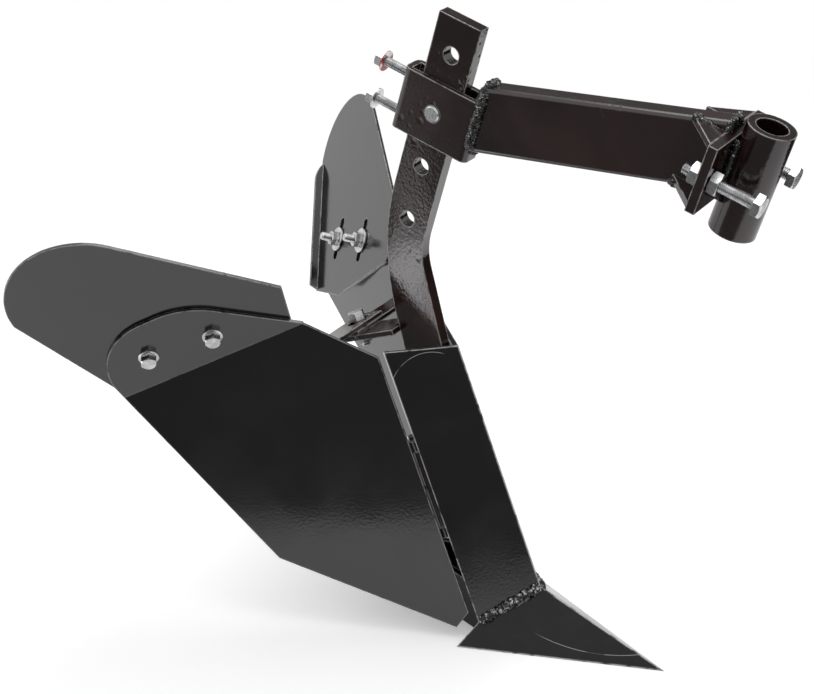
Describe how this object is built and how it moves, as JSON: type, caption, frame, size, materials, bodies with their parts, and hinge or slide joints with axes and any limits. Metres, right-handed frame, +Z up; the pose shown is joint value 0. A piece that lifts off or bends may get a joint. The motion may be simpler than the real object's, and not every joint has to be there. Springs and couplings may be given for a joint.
{
  "type": "ridging plough for a walking tractor",
  "caption": "Black V-nosed ridging plough with two hinged mouldboards, sliding extensions, pinned shank and hitch tube.",
  "frame": {"origin": "middle of the whole plough's plan, on the ground under the share's sole", "axes": "+X forward to the hitch, +Y to the plough's left, +Z up"},
  "size_m": [0.5838, 0.4808, 0.5547],
  "materials": {
    "black_enamel": "gloss black enamel, worn thin on edges",
    "zinc_plate": "bright zinc plating"
  },
  "bodies": {
    "frame": {"beam": "black_enamel", "clamp_sleeve": "black_enamel", "depth_pin": "zinc_plate", "heel": "black_enamel", "hitch_plate": "black_enamel", "left_breast_plate": "black_enamel", "left_front_levelling_nut": "zinc_plate", "left_hinge_rod": "black_enamel", "left_levelling_bolt": "zinc_plate", "left_lower_gusset": "black_enamel", "left_rear_levelling_nut": "zinc_plate", "left_share": "black_enamel", "left_upper_gusset": "black_enamel", "lower_clamp_bolt": "zinc_plate", "pivot_tube": "black_enamel", "right_breast_plate": "black_enamel", "right_front_levelling_nut": "zinc_plate", "right_hinge_rod": "black_enamel", "right_levelling_bolt": "zinc_plate", "right_lower_gusset": "black_enamel", "right_rear_levelling_nut": "zinc_plate", "right_share": "black_enamel", "right_upper_gusset": "black_enamel", "shank": "black_enamel", "spread_bracket": "black_enamel", "upper_clamp_bolt": "zinc_plate"},
    "right_wing_body": {"right_arm": "black_enamel", "right_front_wing_bolt": "zinc_plate", "right_front_wing_nut": "zinc_plate", "right_hinge_barrel": "black_enamel", "right_rear_wing_bolt": "zinc_plate", "right_rear_wing_nut": "zinc_plate", "right_wing": "black_enamel"},
    "left_wing_body": {"left_arm": "black_enamel", "left_front_wing_bolt": "zinc_plate", "left_front_wing_nut": "zinc_plate", "left_hinge_barrel": "black_enamel", "left_rear_wing_bolt": "zinc_plate", "left_rear_wing_nut": "zinc_plate", "left_wing": "black_enamel"},
    "right_extension_body": {"right_extension": "black_enamel"},
    "left_extension_body": {"left_extension": "black_enamel"},
    "spread_bolt_body": {"spread_bolt": "zinc_plate", "spread_nut": "zinc_plate"}
  },
  "joints": [
    {"name": "right_wing_hinge", "type": "hinge", "parent": "frame", "child": "right_wing_body", "pos_m": [0.00549, -0.03703, 0.13325], "axis": [-0.3811, 0, 0.9245], "range_deg": [-10, 10]},
    {"name": "left_wing_hinge", "type": "hinge", "parent": "frame", "child": "left_wing_body", "pos_m": [0.00549, 0.03703, 0.13325], "axis": [-0.3811, 0, 0.9245], "range_deg": [-10, 10]},
    {"name": "spread_bolt_slide", "type": "slide", "parent": "frame", "child": "spread_bolt_body", "axis": [-0.9245, 0, -0.3811], "range_m": [-0.00651, 0.00651]},
    {"name": "right_extension_slide", "type": "slide", "parent": "right_wing_body", "child": "right_extension_body", "axis": [-0.0299, -0.4432, 0.8959], "range_m": [-0.017, 0.016]},
    {"name": "left_extension_slide", "type": "slide", "parent": "left_wing_body", "child": "left_extension_body", "axis": [-0.0299, 0.4432, 0.8959], "range_m": [-0.017, 0.016]}
  ],
  "couplings": [
    {"joint": "left_wing_hinge", "follows": "right_wing_hinge", "ratio": -1},
    {"joint": "spread_bolt_slide", "follows": "right_wing_hinge", "m_per_rad": 0.03703}
  ]
}
